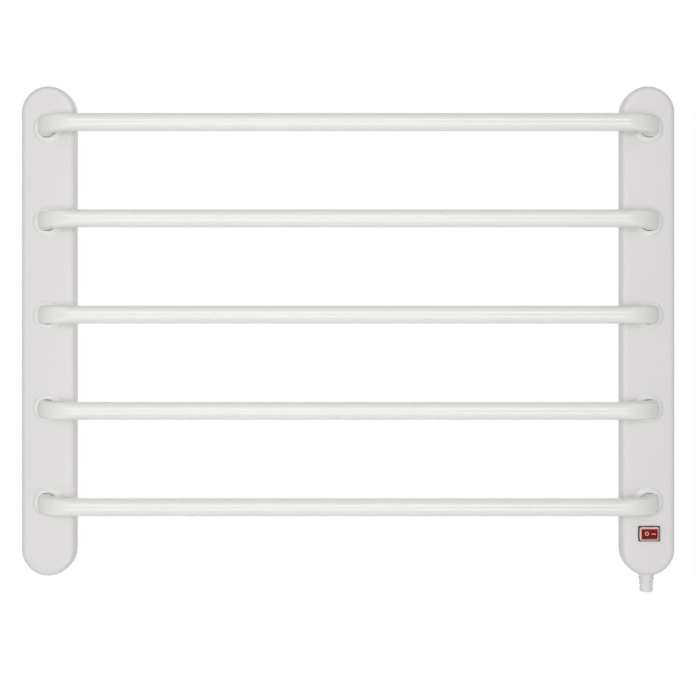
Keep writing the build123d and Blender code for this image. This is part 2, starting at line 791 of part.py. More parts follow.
# Contact blade, at rest with its right end down
blade_tilt = radians(blade_throw / 2)
blade_along = (cos(blade_tilt), sin(blade_tilt), 0)
with BuildPart() as contact_blade:
    with BuildSketch(Plane(origin=(column_x, -blade_depth, switch_z), x_dir=blade_along, z_dir=(0, 0, 1))):
        Rectangle(blade_length, blade_thickness)
    extrude(amount=blade_width / 2, both=True)
save(contact_blade, "contact_blade")

# Clear splash cap: a flange on the bezel, and a dome that clears the rocker's swing
cap_inner_front = pivot_depth + rocker_rise + cap_clearance
cap_front = cap_inner_front + cap_window
with BuildPart() as switch_splash_cap:
    with BuildSketch(at_depth(bezel_front)):
        with Locations((column_x, switch_z)):
            RectangleRounded(opening_length + 2 * cap_wall, opening_width + 2 * cap_wall, cap_dome_corner)
    extrude(amount=cap_front - bezel_front)
    fillet(switch_splash_cap.faces().sort_by(Axis.Y)[0].edges(), radius=cap_rounding)
    with BuildSketch(at_depth(bezel_front)):
        with Locations((column_x, switch_z)):
            RectangleRounded(cap_length, cap_width, cap_flange_corner)
    extrude(amount=cap_flange)
    with BuildSketch(at_depth(bezel_front)):
        with Locations((column_x, switch_z)):
            RectangleRounded(opening_length, opening_width, cap_dome_corner - cap_wall)
    extrude(amount=cap_inner_front - bezel_front, mode=Mode.SUBTRACT)
    inner_ceiling = switch_splash_cap.faces().filter_by_position(Axis.Y, -cap_inner_front, -cap_inner_front)[0]
    fillet(inner_ceiling.edges(), radius=cap_rounding - cap_wall)
save(switch_splash_cap, "switch_splash_cap")

# Cord boot
boot_bottom = pad_bottom - boot_length
with BuildPart() as cord_boot:
    with BuildSketch(Plane(origin=(column_x, -cord_depth, 0), x_dir=(1, 0, 0), z_dir=(0, -1, 0))):
        with BuildLine():
            Polyline((cord_bore, boot_bottom), (boot_tip_radius, boot_bottom), (boot_top_radius, pad_bottom),
                     (boot_neck_radius, pad_bottom), (boot_neck_radius, pad_top),
                     (boot_flange_radius, pad_top), (boot_flange_radius, pad_top + boot_flange),
                     (cord_bore, pad_top + boot_flange), close=True)
        make_face()
    revolve(axis=Axis((column_x, -cord_depth, 0), (0, 0, 1)))
    groove_top = pad_bottom
    groove_height = boot_neck
    while groove_top - groove_height - boot_rib > boot_bottom:
        share = (pad_bottom - groove_top + groove_height / 2) / boot_length
        body_radius = boot_top_radius + (boot_tip_radius - boot_top_radius) * share
        with BuildSketch(Plane.XY.offset(groove_top - groove_height)):
            with Locations((column_x, -cord_depth)):
                Circle(boot_flange_radius)
                Circle(body_radius - boot_groove, mode=Mode.SUBTRACT)
        extrude(amount=groove_height, mode=Mode.SUBTRACT)
        groove_top -= groove_height + boot_rib
        groove_height = boot_gap
save(cord_boot, "cord_boot")

# Cord clamp
with BuildPart() as cord_clamp:
    blocks([(column_x, clamp_z)], clamp_length, clamp_width, clamp_front - clamp_thickness, clamp_front)
    upright_rod(column_x, cord_depth, cord_radius, clamp_z - clamp_width, clamp_z + clamp_width,
                mode=Mode.SUBTRACT)
    rods(clamp_points, screw_hole, clamp_front - clamp_thickness, clamp_front, mode=Mode.SUBTRACT)
save(cord_clamp, "cord_clamp")

with BuildPart() as cord_clamp_screws:
    pan_screws(clamp_points, clamp_front - clamp_thickness, clamp_thickness + clamp_screw_reach)
save(cord_clamp_screws, "cord_clamp_screws")
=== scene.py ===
"""A white heated towel rail with five bars between two end columns, dressed and lit for a photograph.

The view, the lamps and the floor are in metres too. All other sizes are in millimetres, and are divided by
1000 where Blender takes them.
"""

import json

import bpy
import numpy as np
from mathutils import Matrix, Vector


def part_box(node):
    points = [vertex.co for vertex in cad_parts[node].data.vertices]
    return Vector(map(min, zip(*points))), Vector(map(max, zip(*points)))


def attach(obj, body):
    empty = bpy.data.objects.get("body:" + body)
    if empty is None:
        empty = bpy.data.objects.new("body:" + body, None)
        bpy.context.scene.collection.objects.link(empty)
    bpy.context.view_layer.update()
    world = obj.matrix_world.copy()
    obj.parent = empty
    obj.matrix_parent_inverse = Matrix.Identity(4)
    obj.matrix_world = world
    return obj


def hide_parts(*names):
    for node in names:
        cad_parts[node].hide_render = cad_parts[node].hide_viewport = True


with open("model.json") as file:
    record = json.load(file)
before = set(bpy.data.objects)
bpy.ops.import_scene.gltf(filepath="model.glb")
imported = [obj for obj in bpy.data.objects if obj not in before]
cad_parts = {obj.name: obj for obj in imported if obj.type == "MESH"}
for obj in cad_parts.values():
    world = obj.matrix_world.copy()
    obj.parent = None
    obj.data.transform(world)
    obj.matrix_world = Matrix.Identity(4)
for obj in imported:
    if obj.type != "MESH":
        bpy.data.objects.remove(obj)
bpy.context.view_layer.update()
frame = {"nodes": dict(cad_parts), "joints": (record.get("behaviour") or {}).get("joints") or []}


# The view. The photograph is taken square to the wall, about a metre in front of the columns' middle. The
# picture was cropped a little high, which the small shift follows.
lens = bpy.data.cameras.new("camera")
lens.lens = 58.05
lens.sensor_width = 36.0
lens.shift_x, lens.shift_y = -0.0002, -0.02445
camera = bpy.data.objects.new("camera", lens)
camera.location = (0.0, -1.048, -0.007)
camera.rotation_euler = (np.pi / 2, 0.0, 0.0)
bpy.context.scene.collection.objects.link(camera)
bpy.context.scene.camera = camera
bpy.context.scene.view_settings.view_transform = "Standard"


# The studio. Even daylight comes from all round, and one soft box stands just behind the camera, so that the
# bars' shadows fall behind them. Two long strips above and below only glint on the bars, and one box lights
# the back. Rays that look or mirror see a white room.
daylight = 0.42


def add(tree, kind, inputs, **settings):
    """Adds a node with its settings. An input takes a number or a colour, or a link where it is a socket."""
    node = tree.nodes.new(kind)
    for name, value in settings.items():
        setattr(node, name, value)
    for name, value in inputs.items():
        if isinstance(value, bpy.types.NodeSocket):
            tree.links.new(value, node.inputs[name])
        else:
            node.inputs[name].default_value = value
    return node


def looking(tree):
    """1 for a ray that looks, mirrors or passes through glass, and 0 for one that only carries light."""
    ray = add(tree, "ShaderNodeLightPath", {})
    seen = add(tree, "ShaderNodeMath", {0: ray.outputs["Is Camera Ray"], 1: ray.outputs["Is Glossy Ray"]})
    seen = add(tree, "ShaderNodeMath", {0: seen.outputs[0], 1: ray.outputs["Is Transmission Ray"]})
    return seen.outputs[0]


def soft_box(name, place, width, height, watts, lights=True, glints=True):
    """A rectangular lamp that faces the middle of the rail, and isn't seen itself.

    It lights matt surfaces, glints in glossy ones, or does both.
    """
    lamp = bpy.data.lights.new(name, "AREA")
    lamp.shape = "RECTANGLE"
    lamp.size, lamp.size_y, lamp.energy = width, height, watts
    box = bpy.data.objects.new(name, lamp)
    box.location = place
    box.rotation_euler = (-box.location).to_track_quat("-Z", "Y").to_euler()
    box.visible_camera = False
    box.visible_diffuse, box.visible_glossy = lights, glints
    bpy.context.scene.collection.objects.link(box)


world = bpy.data.worlds.new("white_room")
bpy.context.scene.world = world
world.use_nodes = True
room = world.node_tree
room.nodes.clear()
level = add(room, "ShaderNodeMapRange", {"Value": looking(room), "To Min": daylight, "To Max": 1.0})
sky = add(room, "ShaderNodeBackground", {"Color": (1, 1, 1, 1), "Strength": level.outputs["Result"]})
add(room, "ShaderNodeOutputWorld", {"Surface": sky.outputs[0]})
soft_box("front_soft_box", (-0.1, -1.22, -0.01), 0.62, 0.4, 7.75, glints=False)
soft_box("upper_strip", (0.0, -2.1, 1.05), 2.4, 0.2, 19, lights=False)
soft_box("lower_strip", (0.0, -2.1, -1.0), 2.4, 0.2, 12, lights=False)
soft_box("rear_soft_box", (0.3, 2.2, 1.2), 2.0, 0.8, 34, glints=False)


# The floor: matt white paper, well below a rail that hangs on a wall. It shines a little for rays that look
# or mirror, so that it meets the white room, and it darkens only where the rail keeps light off it.
floor_height, floor_reach = -1.4, 4.0
paper_glow = 0.75


def linear(code):
    """The linear red, green, blue and alpha of an sRGB hex colour."""
    parts = np.array([int(code[place:place + 2], 16) for place in (1, 3, 5)]) / 255
    parts = np.where(parts <= 0.04045, parts / 12.92, ((parts + 0.055) / 1.055) ** 2.4)
    return (*parts.tolist(), 1.0)


def begin(name):
    """A material with an empty node tree, and that tree."""
    material = bpy.data.materials.new(name)
    material.use_nodes = True
    material.node_tree.nodes.clear()
    return material, material.node_tree


# The sockets of a Mix node that take its two colours, and the one that gives their mixture
colour_a, colour_b, mixture = 6, 7, 2
paper, tree = begin("matt_white_paper")
glow = add(tree, "ShaderNodeMath", {0: looking(tree), 1: paper_glow}, operation="MULTIPLY")
place = add(tree, "ShaderNodeTexCoord", {}).outputs["Object"]
fibre = add(tree, "ShaderNodeTexNoise", {"Vector": place, "Scale": 1000 / 25, "Detail": 3.0})
tint = add(tree, "ShaderNodeMix", {"Factor": fibre.outputs["Fac"], colour_a: linear("#EDEDEC"),
                                   colour_b: linear("#F1F1F0")}, data_type="RGBA")
matt = add(tree, "ShaderNodeBsdfDiffuse", {"Color": tint.outputs[mixture]})
shine = add(tree, "ShaderNodeEmission", {"Color": (1, 1, 1, 1), "Strength": glow.outputs[0]})
both = add(tree, "ShaderNodeAddShader", {0: matt.outputs[0], 1: shine.outputs[0]})
add(tree, "ShaderNodeOutputMaterial", {"Surface": both.outputs[0]})
corners = [(-floor_reach, -floor_reach), (floor_reach, -floor_reach),
           (floor_reach, floor_reach), (-floor_reach, floor_reach)]
floor_mesh = bpy.data.meshes.new("floor")
floor_mesh.from_pydata([(x, y, floor_height) for x, y in corners], [], [(0, 1, 2, 3)])
floor_mesh.materials.append(paper)
floor = bpy.data.objects.new("floor", floor_mesh)
bpy.context.scene.collection.objects.link(floor)


# Covers: two hollow columns, injection moulded in white ABS, with five raised collars each. Their rims stand
# 6 mm off the wall. They keep the solids' shape, and take a fine eroded grain that breaks up the gloss.
# Depths from the wall, in mm, over which the collars turn glossier and take their painted highlight
collar_highlight_from, collar_highlight_to = 20.4, 21.6


def dress(material, *nodes):
    """Gives a material to the solids named."""
    for name in nodes:
        frame["nodes"][name].material_slots[0].material = material


# White ABS, moulded in an eroded tool: a satin sheen, a grain of about 0.5 mm that is barely felt, and faint
# cloudy flow marks some centimetres long. The collars, which are all that stands out past the column's face,
# come from smooth rings let into that tool, so they are a little glossier towards their tops. Their colour is
# also painted paler there, a painted highlight where their tops catch the light.
white_abs, tree = begin("white_moulded_abs")
place = add(tree, "ShaderNodeTexCoord", {}).outputs["Object"]
flow = add(tree, "ShaderNodeTexNoise", {"Vector": place, "Scale": 1000 / 60, "Detail": 2.0})
grain = add(tree, "ShaderNodeTexNoise", {"Vector": place, "Scale": 1000 / 0.5, "Detail": 3.0,
                                         "Roughness": 0.6})
axes = add(tree, "ShaderNodeSeparateXYZ", {0: place})
collar = add(tree, "ShaderNodeMapRange", {"Value": axes.outputs["Y"], "From Min": -collar_highlight_from / 1000,
                                          "From Max": -collar_highlight_to / 1000})
tint = add(tree, "ShaderNodeMix", {"Factor": flow.outputs["Fac"], colour_a: linear("#E0DEDE"),
                                   colour_b: linear("#E4E2E2")}, data_type="RGBA")
# Painted highlight: the collars' tops are mixed towards a paler white
tint = add(tree, "ShaderNodeMix", {"Factor": collar.outputs["Result"], colour_a: tint.outputs[mixture],
                                   colour_b: linear("#E9EAE7")}, data_type="RGBA")
gloss = add(tree, "ShaderNodeMapRange", {"Value": grain.outputs["Fac"], "To Min": 0.34, "To Max": 0.46})
gloss = add(tree, "ShaderNodeMapRange", {"Value": collar.outputs["Result"], "To Max": 0.28,
                                         "To Min": gloss.outputs["Result"]})
bump = add(tree, "ShaderNodeBump", {"Height": grain.outputs["Fac"], "Strength": 0.5, "Distance": 0.02 / 1000})
shader = add(tree, "ShaderNodeBsdfPrincipled",
             {"Base Color": tint.outputs[mixture], "Roughness": gloss.outputs["Result"], "IOR": 1.54,
              "Normal": bump.outputs["Normal"]})
add(tree, "ShaderNodeOutputMaterial", {"Surface": shader.outputs[0]})
dress(white_abs, "left_cover", "right_cover")


# Back plates: shallow trays of the same plastic from a plainer tool. They close the columns at the wall,
# with a lip that goes up inside the cover's rim, and hang on two screws each by their keyholes.
# Recycled-grade ABS: duller and a little greyer than the covers, with a coarser grain of about 0.8 mm.
plain_abs, tree = begin("plain_moulded_abs")
place = add(tree, "ShaderNodeTexCoord", {}).outputs["Object"]
flow = add(tree, "ShaderNodeTexNoise", {"Vector": place, "Scale": 1000 / 40, "Detail": 2.0})
grain = add(tree, "ShaderNodeTexNoise", {"Vector": place, "Scale": 1000 / 0.8, "Detail": 2.0})
tint = add(tree, "ShaderNodeMix", {"Factor": flow.outputs["Fac"], colour_a: linear("#CFCFCC"),
                                   colour_b: linear("#D8D8D5")}, data_type="RGBA")
bump = add(tree, "ShaderNodeBump", {"Height": grain.outputs["Fac"], "Strength": 0.6, "Distance": 0.03 / 1000})
shader = add(tree, "ShaderNodeBsdfPrincipled",
             {"Base Color": tint.outputs[mixture], "Roughness": 0.6, "IOR": 1.54,
              "Normal": bump.outputs["Normal"]})
add(tree, "ShaderNodeOutputMaterial", {"Surface": shader.outputs[0]})
dress(plain_abs, "left_back_plate", "right_back_plate")


# Bars: five steel tubes of 16 mm, bent cold on a former at both ends and powder coated. Each is pulled into
# its two columns by a nut, and a thin dark gap shows round it in the collar.
tube_wall, tube_bend, tube_flat = 1.0, 30.0, 1.0
tube_sides, bend_rings = 64, 41
flat_in, flat_out = np.radians(16), np.radians(24)


def box_of(node):
    """The lowest and the highest corner of a solid, in millimetres."""
    low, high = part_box(node)
    return np.array(low) * 1000, np.array(high) * 1000


def surface(name, grids, material, wrap=False):
    """A smooth closed mesh from grids of points in millimetres, each a stack of closed rings.

    Neighbouring rings are joined by quads. With wrap the last ring joins the first one. Without it the first
    and the last ring are closed by a fan to their middle. Faces are turned to make the volume positive.
    """
    points, faces, count = [], [], 0
    for grid in grids:
        rings, sides = grid.shape[:2]
        index = count + np.arange(rings * sides).reshape(rings, sides)
        if wrap:
            index = np.vstack([index, index[:1]])
        beside = np.roll(index, -1, axis=1)
        quads = np.stack([index[:-1], beside[:-1], beside[1:], index[1:]], axis=-1).reshape(-1, 4)
        triangles = np.vstack([quads[:, [0, 1, 2]], quads[:, [0, 2, 3]]])
        fans = np.empty((0, 3), int)
        corners = grid.reshape(-1, 3)
        if not wrap:
            first, last = count + rings * sides, count + rings * sides + 1
            middles = np.stack([grid[0].mean(axis=0), grid[-1].mean(axis=0)])
            corners = np.vstack([corners, middles])
            fans = np.vstack([np.stack([beside[0], index[0], np.full(sides, first)], axis=-1),
                              np.stack([index[-1], beside[-1], np.full(sides, last)], axis=-1)])
            triangles = np.vstack([triangles, fans])
        a, b, c = (corners[triangles[:, corner] - count] for corner in range(3))
        if np.einsum("ij,ij->", a, np.cross(b, c)) < 0:
            quads, fans = quads[:, ::-1], fans[:, ::-1]
        points.append(corners)
        faces += quads.tolist() + fans.tolist()
        count += len(corners)
    mesh = bpy.data.meshes.new(name)
    mesh.from_pydata((np.vstack(points) / 1000).tolist(), [], faces)
    mesh.polygons.foreach_set("use_smooth", np.ones(len(mesh.polygons), bool))
    mesh.materials.append(material)
    mesh.update()
    piece = bpy.data.objects.new(name, mesh)
    bpy.context.scene.collection.objects.link(piece)
    return piece


def bent_tube(low, high):
    """A round tube carried along its bent path, as one closed wall.

    The path runs forward from the wall side, round a quarter circle, across, and back the same way. A ring
    stands square to the path at each step. Bending flattens a tube on its outer side, so in the bends that
    half of the ring goes from a circle over to a fourth-power oval, drawn in a little, and back before the
    collar. The rings go out along the outer face and back along the bore.
    """
    radius = (high[2] - low[2]) / 2
    end_x, middle_z = high[0] - radius, (high[2] + low[2]) / 2
    bend_x, bend_y = end_x - tube_bend, low[1] + radius + tube_bend
    turn = np.linspace(0, np.pi / 2, bend_rings)
    ramp = np.minimum(np.clip(turn / flat_in, 0, 1), np.clip((np.pi / 2 - turn) / flat_out, 0, 1))
    half_x = np.concatenate([[end_x], bend_x + tube_bend * np.cos(turn), [bend_x / 2]])
    half_y = np.concatenate([[high[1]], bend_y - tube_bend * np.sin(turn), [bend_y - tube_bend]])
    half_flat = np.concatenate([[0.0], ramp * ramp * (3 - 2 * ramp), [0.0]])
    half_heading = np.concatenate([[0.0], turn, [np.pi / 2]])
    path_x = np.concatenate([half_x, -half_x[::-1]])[:, None]
    path_y = np.concatenate([half_y, half_y[::-1]])[:, None]
    flat = np.concatenate([half_flat, half_flat[::-1]])[:, None]
    heading = np.concatenate([half_heading, np.pi - half_heading[::-1]])[:, None]
    round_it = np.linspace(0, 2 * np.pi, tube_sides, endpoint=False)
    out, up = np.cos(round_it), np.sin(round_it)
    power = np.where(out > 0, 2 + 2 * flat, 2.0)
    oval = (np.abs(out) ** power + np.abs(up) ** power) ** (-1 / power)
    walls = []
    for ring in (radius, radius - tube_wall):
        reach = out * oval * np.where(out > 0, ring - tube_flat * flat, ring)
        x = path_x + np.cos(heading) * reach
        y = path_y - np.sin(heading) * reach
        walls.append(np.stack([x, y, middle_z + ring * oval * up], axis=-1))
    return np.vstack([walls[0], walls[1][::-1]])


# Polyester powder on steel: a satin white with a trace of green, which the curing leaves with a soft orange
# peel about 2 mm across.
powder_coat, tree = begin("white_powder_coat_on_steel")
place = add(tree, "ShaderNodeTexCoord", {}).outputs["Object"]
peel = add(tree, "ShaderNodeTexNoise", {"Vector": place, "Scale": 1000 / 2.0, "Detail": 2.0})
cloud = add(tree, "ShaderNodeTexNoise", {"Vector": place, "Scale": 1000 / 45, "Detail": 2.0})
tint = add(tree, "ShaderNodeMix", {"Factor": cloud.outputs["Fac"], colour_a: linear("#EBEBE8"),
                                   colour_b: linear("#EFF0EC")}, data_type="RGBA")
gloss = add(tree, "ShaderNodeMapRange", {"Value": cloud.outputs["Fac"], "To Min": 0.2, "To Max": 0.26})
bump = add(tree, "ShaderNodeBump",
           {"Height": peel.outputs["Fac"], "Strength": 0.35, "Distance": 0.08 / 1000})
shader = add(tree, "ShaderNodeBsdfPrincipled",
             {"Base Color": tint.outputs[mixture], "Roughness": gloss.outputs["Result"], "IOR": 1.5,
              "Normal": bump.outputs["Normal"]})
add(tree, "ShaderNodeOutputMaterial", {"Surface": shader.outputs[0]})
for number in range(1, 6):
    bar = surface(f"bar_{number}_tube", [bent_tube(*box_of(f"bar_{number}"))], powder_coat, wrap=True)
    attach(bar, "rail")
    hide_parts(f"bar_{number}")


# Fixings inside the columns: pressed strips, thin nuts, rings and screws, all of mild steel. They hold the
# tube ends and are seen only through the gaps in the collars.
# Bright zinc plating: a soft blue-white metal whose passivation clouds over in patches of some millimetres.
zinc, tree = begin("zinc_plated_steel")
place = add(tree, "ShaderNodeTexCoord", {}).outputs["Object"]
cloud = add(tree, "ShaderNodeTexNoise", {"Vector": place, "Scale": 1000 / 6, "Detail": 3.0})
tint = add(tree, "ShaderNodeMix", {"Factor": cloud.outputs["Fac"], colour_a: linear("#B4B8BD"),
                                   colour_b: linear("#CBCED0")}, data_type="RGBA")
gloss = add(tree, "ShaderNodeMapRange", {"Value": cloud.outputs["Fac"], "To Min": 0.28, "To Max": 0.42})
shader = add(tree, "ShaderNodeBsdfPrincipled",
             {"Base Color": tint.outputs[mixture], "Roughness": gloss.outputs["Result"], "Metallic": 1.0})
add(tree, "ShaderNodeOutputMaterial", {"Surface": shader.outputs[0]})
dress(zinc, "left_inner_strip", "right_inner_strip", "left_tube_nuts", "right_tube_nuts",
      "left_retaining_rings", "right_retaining_rings", "left_strip_screws", "right_strip_screws",
      "cutout_clip", "cutout_clip_screws", "earth_screw", "cord_clamp_screws")


# Plate screws: two countersunk screws in each back plate, cut with a cross for the driver. They are the only
# fixings that show, and only from the wall side.
screw_head, screw_shank, screw_length, screw_point = 3.2, 1.2, 11.0, 1.2
cross_width, cross_reach, cross_depth, cross_edge = 0.9, 1.9, 0.9, 0.2
head_rings, screw_sides = 22, 72


def cross_screw(x, z):
    """A countersunk screw along the depth, as rings about its axis.

    Rings widen across the head, narrow along the cone and run down the shank to a short point. On the head
    the depth of a point is the cross's depth where it lies within the arms, with edges that slope a little.
    """
    cone = screw_head - screw_shank
    radius = np.concatenate([np.linspace(0.12, screw_head, head_rings), [screw_shank, screw_shank, 0.25]])
    depth = np.concatenate([np.zeros(head_rings), [cone, screw_length - screw_point, screw_length]])
    angle = np.linspace(0, 2 * np.pi, screw_sides, endpoint=False)
    across, up = radius[:, None] * np.cos(angle), radius[:, None] * np.sin(angle)
    near = np.minimum(np.abs(across), np.abs(up)) - cross_width / 2
    far = np.maximum(np.abs(across), np.abs(up)) - cross_reach
    cut = np.clip(-np.maximum(near, far) / cross_edge, 0, 1) * cross_depth
    cut[head_rings:] = 0
    return np.stack([x + across, -(depth[:, None] + cut), z + up], axis=-1)


for hand in ("left", "right"):
    low, high = box_of(f"{hand}_plate_screws")
    middle_x = (low[0] + high[0]) / 2
    places = (low[2] + screw_head, high[2] - screw_head)
    screws = surface(f"{hand}_cross_screws", [cross_screw(middle_x, z) for z in places], zinc)
    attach(screws, "rail")
    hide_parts(f"{hand}_plate_screws")


# Insulation and heat: nylon plugs in the tube ends, a heating wire in silicone rubber that runs through all
# five tubes, two PVC leads, a crimped cap where the wires join, and a cut-out that opens if it overheats.
def speckled(name, deep, pale, size, relief, **finish):
    """A material whose colour and height wander between two limits.

    The colours are hex, the size of a speckle and the relief are in millimetres, and the finish is what the
    shader takes besides.
    """
    material, tree = begin(name)
    place = add(tree, "ShaderNodeTexCoord", {}).outputs["Object"]
    noise = add(tree, "ShaderNodeTexNoise", {"Vector": place, "Scale": 1000 / size, "Detail": 3.0})
    tint = add(tree, "ShaderNodeMix", {"Factor": noise.outputs["Fac"], colour_a: linear(deep),
                                       colour_b: linear(pale)}, data_type="RGBA")
    bump = add(tree, "ShaderNodeBump",
               {"Height": noise.outputs["Fac"], "Strength": 0.5, "Distance": relief / 1000})
    shader = add(tree, "ShaderNodeBsdfPrincipled",
                 {"Base Color": tint.outputs[mixture], "Normal": bump.outputs["Normal"], **finish})
    add(tree, "ShaderNodeOutputMaterial", {"Surface": shader.outputs[0]})
    return material


# Moulded nylon: near black, with the dull sheen of an eroded tool.
black_nylon = speckled("black_moulded_nylon", "#100F0F", "#1A1918", 0.4, 0.02, Roughness=0.42, IOR=1.53)
dress(black_nylon, "left_end_plugs", "right_end_plugs", "left_wire_clips", "right_wire_clips", "cord_clamp",
      "switch_plunger")
# Silicone rubber: soft and matt, a brick red that dust dulls in patches.
silicone = speckled("red_silicone_rubber", "#8E2F26", "#A0392E", 1.5, 0.02, Roughness=0.7, IOR=1.41)
dress(silicone, "heating_wire")
# Extruded PVC: smooth, with faint patches of deeper colour a few millimetres across.
blue_pvc = speckled("blue_extruded_pvc", "#1F4E93", "#2659A3", 3.0, 0.01, Roughness=0.4, IOR=1.53)
dress(blue_pvc, "return_wire")
brown_pvc = speckled("brown_extruded_pvc", "#5A3420", "#683E28", 3.0, 0.01, Roughness=0.4, IOR=1.53)
dress(brown_pvc, "live_wire")
# Clear-grade nylon goes milky when it is crimped.
milky_nylon = speckled("milky_crimped_nylon", "#C9CCC4", "#DADCD5", 2.0, 0.05, Roughness=0.35, IOR=1.53)
dress(milky_nylon, "splice_cap")
# Phenolic resin: a brown-black body, filled with wood flour that speckles it finely.
phenolic = speckled("moulded_phenolic", "#1D1411", "#2B1E19", 0.3, 0.01, Roughness=0.38, IOR=1.63)
dress(phenolic, "thermal_cutout")
# Stamped brass: yellow metal, dulled unevenly by handling.
brass = speckled("stamped_brass", "#B08D45", "#CBA85C", 2.5, 0.005, Roughness=0.32, Metallic=1.0)
dress(brass, "switch_terminals", "earth_tag")
# Copper strip with silver inlay: pinkish metal with a grey cast.
copper = speckled("silver_faced_copper", "#B98F78", "#CDB2A4", 1.5, 0.005, Roughness=0.28, Metallic=1.0)
dress(copper, "contact_blade")
# Spring wire: drawn steel with a dark oil film.
spring_steel = speckled("oiled_spring_steel", "#77797C", "#93969A", 0.6, 0.005, Roughness=0.3, Metallic=1.0)
dress(spring_steel, "plunger_spring")
# Neon lamp: thin glass that the orange electrodes tint, with a soft drawn surface.
neon_glass = speckled("tinted_lamp_glass", "#C9825A", "#D8946A", 1.0, 0.002, Roughness=0.08, IOR=1.47)
dress(neon_glass, "indicator_lamp")


# Switch housing: a black nylon body whose bezel lies on the column. The well and its floor are moulded in
# one with it, and every edge has a small radius.
corner_points, side_points = 9, 12


def rounded_rings(half_length, half_width, corner):
    """Rings of points (x, z), one for each row of sizes: rectangles with round corners.

    Each ring is four quarter circles about the corners' middles, joined by straight runs. A ring's length,
    width and corner scale three fixed sets of numbers, so all rings have their points in the same order.
    """
    along, up, turn_x, turn_z = [], [], [], []
    signs = [(1, 1), (-1, 1), (-1, -1), (1, -1)]
    share = np.linspace(0, 1, side_points + 2)[1:-1]
    for quarter, (sign_x, sign_z) in enumerate(signs):
        angle = (quarter + np.linspace(0, 1, corner_points)) * np.pi / 2
        next_x, next_z = signs[(quarter + 1) % 4]
        along += [np.full(corner_points, sign_x), sign_x + (next_x - sign_x) * share]
        up += [np.full(corner_points, sign_z), sign_z + (next_z - sign_z) * share]
        turn_x += [np.cos(angle), np.full(side_points, np.cos(angle[-1]))]
        turn_z += [np.sin(angle), np.full(side_points, np.sin(angle[-1]))]
    along, up, turn_x, turn_z = (np.concatenate(part) for part in (along, up, turn_x, turn_z))
    corner = np.minimum(corner, np.minimum(half_length, half_width))[:, None]
    x = along * (half_length[:, None] - corner) + turn_x * corner
    z = up * (half_width[:, None] - corner) + turn_z * corner
    return x, z


def shell_of_rings(rows, middle):
    """Rounded rings at depths. Each row is half length, half width, corner and depth from the wall."""
    rows = np.array(rows, float)
    x, z = rounded_rings(rows[:, 0], rows[:, 1], rows[:, 2])
    y = np.broadcast_to(-rows[:, 3:4], x.shape)
    return np.stack([middle[0] + x, y, middle[2] + z], axis=-1)


def edge_rows(half_length, half_width, corner, front, radius, steps=6):
    """Rows that go round an outside edge, from the side up to the front, on a quarter circle."""
    turn = np.linspace(0, np.pi / 2, steps)
    inset = radius * (1 - np.cos(turn))
    depth = front - radius * (1 - np.sin(turn))
    return np.stack([half_length - inset, half_width - inset, corner - inset, depth], axis=-1).tolist()


def flat_rows(half_length, half_width, corner, depth, shares):
    """Rows that cover a flat place: the same ring at one depth, in shares of its size."""
    return [[half_length * share, half_width * share, corner * share, depth] for share in shares]


low, high = box_of("switch_housing")
switch_middle = (low + high) / 2
bezel_front, housing_back = -low[1], -high[1]
bezel_half_length, bezel_half_width = (high[0] - low[0]) / 2, (high[2] - low[2]) / 2
bezel_thickness, bezel_corner, bezel_edge = 1.6, 0.85, 0.5
well_half_length, well_half_width, well_corner = 7.85, 4.7, 0.4
housing_wall, housing_corner = 1.2, 0.8
body_half_length, body_half_width = well_half_length + housing_wall, well_half_width + housing_wall
column_face, well_floor = bezel_front - bezel_thickness, housing_back + housing_wall
# The back, the sides, the bezel's underside and rounded edge, and then in over a small lip and down the well
rows = flat_rows(body_half_length, body_half_width, housing_corner, housing_back, (0.1, 0.5, 0.98))
rows += [[body_half_length, body_half_width, housing_corner, housing_back + 0.2],
         [body_half_length, body_half_width, housing_corner, column_face - 0.02],
         [bezel_half_length - 0.05, bezel_half_width - 0.05, bezel_corner - 0.05, column_face]]
rows += edge_rows(bezel_half_length, bezel_half_width, bezel_corner, bezel_front, bezel_edge)
rows += [[well_half_length + 0.3, well_half_width + 0.3, well_corner + 0.2, bezel_front],
         [well_half_length + 0.1, well_half_width + 0.1, well_corner + 0.1, bezel_front - 0.06],
         [well_half_length, well_half_width, well_corner, bezel_front - 0.3],
         [well_half_length, well_half_width, well_corner, well_floor + 0.2]]
rows += flat_rows(well_half_length, well_half_width, well_corner, well_floor, (0.98, 0.5, 0.1))
housing = surface("switch_body", [shell_of_rings(rows, switch_middle)], black_nylon)
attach(housing, "rail")
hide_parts("switch_housing")


# Rocker: a glossy button of red polycarbonate that a lamp can light from inside. Its face is a shallow V
# that dips to the pivot, and at rest its off end is pressed in.
rocker_half_length, rocker_half_width, rocker_corner = 7.1, 4.4, 0.5
rocker_end, rocker_dip, rocker_edge, dip_round = 3.2, 2.3, 0.45, 0.5
rocker_skirt, rocker_keel, rocker_keel_half = 0.2, -2.6, 4.2
rocker_tilt = np.radians(10)
face_rings = 14
pivot = 1000 * np.array(next(joint["pos_m"] for joint in frame["joints"] if joint["name"] == "rocker_tilt"))


def rocker_face(along):
    """The height of the rocker's face over the pivot: a V with its bottom rounded over about a millimetre."""
    slope = (rocker_end - rocker_dip) / rocker_half_length
    return rocker_dip + slope * (np.sqrt(along**2 + dip_round**2) - dip_round / 2)


def on_rocker(along, height, across):
    """Turns places along, out of and across the tilted rocker into points of the part."""
    x = pivot[0] + along * np.cos(rocker_tilt) - height * np.sin(rocker_tilt)
    y = pivot[1] - along * np.sin(rocker_tilt) - height * np.cos(rocker_tilt)
    return np.stack([x, y, np.broadcast_to(pivot[2] + across, x.shape)], axis=-1)


